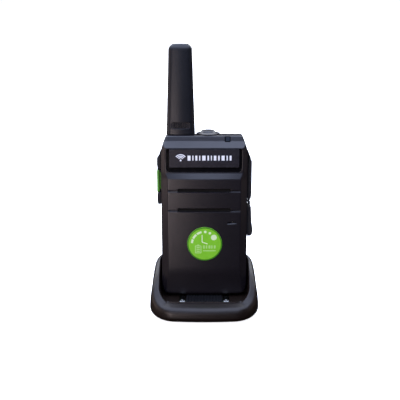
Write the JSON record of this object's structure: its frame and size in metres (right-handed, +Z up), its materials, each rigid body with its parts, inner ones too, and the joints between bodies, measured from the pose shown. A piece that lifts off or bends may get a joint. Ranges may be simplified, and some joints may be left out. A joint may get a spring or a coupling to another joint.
{
  "type": "two-way radio in a desktop charging cradle",
  "caption": "Compact handheld two-way radio with a flat tapered antenna, side talk key and belt clip, leaning in its low scooped charging cradle.",
  "frame": {"origin": "centre of the footprint, on the surface the cradle's feet stand on", "axes": "+Z up, front faces -Y, +X to the right seen from the front; the radio leans back 7 degrees towards +Y"},
  "size_m": [0.072, 0.062, 0.1724],
  "materials": {
    "housing": "fine-textured moulded ABS and polycarbonate, near black",
    "cradle": "satin moulded ABS, near black",
    "inner_plastic": "plain moulded plastic, black",
    "gloss_black": "polished black",
    "plate": "spark-textured dark film with a white print",
    "talk_key": "satin green elastomer",
    "key_rubber": "matte black elastomer",
    "sticker": "printed green film",
    "lamp": "smoked clear window",
    "nickel": "nickel plated",
    "brass": "bright",
    "steel": "plain",
    "circuit_board": "glass-fibre board with a green mask",
    "speaker_paper": "pressed paper",
    "magnet": "sintered ferrite",
    "cell_film": "shrink film"
  },
  "bodies": {
    "cradle": {"cradle_shell": "cradle", "cradle_base": "cradle", "cradle_screw_1": "steel", "cradle_screw_2": "steel", "cradle_foot_1": "key_rubber", "cradle_foot_2": "key_rubber", "cradle_foot_3": "key_rubber", "cradle_foot_4": "key_rubber", "cradle_board": "circuit_board", "cradle_power_jack": "inner_plastic", "contact_platform": "inner_plastic"},
    "radio": {"front_housing": "housing", "rear_housing": "housing", "battery_case": "housing", "battery_inner_cover": "housing", "clip_bracket": "housing", "antenna_cover": "housing", "accessory_jack": "inner_plastic", "antenna_core": "inner_plastic", "name_plate_tray": "gloss_black", "name_plate": "plate", "key_surround": "key_rubber", "cover_anchor": "key_rubber", "cover_hinge": "key_rubber", "microphone_boot": "key_rubber", "charge_sticker": "sticker", "lamp_window": "lamp", "charge_pad_left": "nickel", "charge_pad_right": "nickel", "antenna_coil": "brass", "antenna_terminal": "brass", "battery_contact_block": "brass", "housing_screw_1": "steel", "housing_screw_2": "steel", "clip_pin": "steel", "clip_spring": "steel", "speaker_frame": "steel", "shield_can": "steel", "microphone": "steel", "volume_switch": "steel", "talk_switch": "steel", "side_switch_upper": "steel", "side_switch_lower": "steel", "main_board": "circuit_board", "key_board": "circuit_board", "battery_board": "circuit_board", "speaker_cone": "speaker_paper", "speaker_felt": "speaker_paper", "speaker_magnet": "magnet", "battery_cell": "cell_film"},
    "charge_contact_left": {"charge_contact_left": "nickel"},
    "charge_contact_right": {"charge_contact_right": "nickel"},
    "volume_knob": {"volume_knob": "key_rubber", "knob_shaft": "brass"},
    "talk_key": {"talk_key": "talk_key"},
    "side_key_upper": {"side_key_upper": "key_rubber"},
    "side_key_lower": {"side_key_lower": "key_rubber"},
    "jack_cover": {"jack_cover": "key_rubber"},
    "battery_latch": {"battery_latch": "housing"},
    "belt_clip": {"belt_clip": "housing"}
  },
  "joints": [
    {"name": "radio_lift", "type": "slide", "parent": "cradle", "child": "radio", "axis": [0, 0.1219, 0.9925], "range_m": [0, 0.06]},
    {"name": "contact_left_flex", "type": "hinge", "parent": "cradle", "child": "charge_contact_left", "pos_m": [-0.0144, -0.01962, 0.00837], "axis": [-1, 0, 0], "range_deg": [0, 2.5], "stiffness_Nm_per_rad": 0.15, "springref_deg": -1.15},
    {"name": "contact_right_flex", "type": "hinge", "parent": "cradle", "child": "charge_contact_right", "pos_m": [0.0144, -0.01962, 0.00837], "axis": [-1, 0, 0], "range_deg": [0, 2.5], "stiffness_Nm_per_rad": 0.15, "springref_deg": -1.15},
    {"name": "volume_turn", "type": "hinge", "parent": "radio", "child": "volume_knob", "pos_m": [0.0025, 0.01533, 0.11491], "axis": [0, -0.1219, -0.9925], "range_deg": [0, 270]},
    {"name": "talk_key_press", "type": "slide", "parent": "radio", "child": "talk_key", "axis": [1, 0, 0], "range_m": [0, 0.0008], "stiffness_N_per_m": 1500, "springref_m": -0.0004},
    {"name": "side_key_upper_press", "type": "slide", "parent": "radio", "child": "side_key_upper", "axis": [1, 0, 0], "range_m": [0, 0.0006], "stiffness_N_per_m": 1500, "springref_m": -0.0004},
    {"name": "side_key_lower_press", "type": "slide", "parent": "radio", "child": "side_key_lower", "axis": [1, 0, 0], "range_m": [0, 0.0006], "stiffness_N_per_m": 1500, "springref_m": -0.0004},
    {"name": "jack_cover_open", "type": "hinge", "parent": "radio", "child": "jack_cover", "pos_m": [0.0294, 0.00873, 0.07018], "axis": [0, -0.9925, 0.1219], "range_deg": [0, 90], "stiffness_Nm_per_rad": 0.004, "springref_deg": -11.46},
    {"name": "battery_latch_slide", "type": "slide", "parent": "radio", "child": "battery_latch", "axis": [0, 0.1219, 0.9925], "range_m": [0, 0.002], "stiffness_N_per_m": 400, "springref_m": -0.001},
    {"name": "belt_clip_open", "type": "hinge", "parent": "radio", "child": "belt_clip", "pos_m": [0, 0.02814, 0.09621], "axis": [1, 0, 0], "range_deg": [0, 12], "stiffness_Nm_per_rad": 0.4, "springref_deg": -8.59}
  ]
}
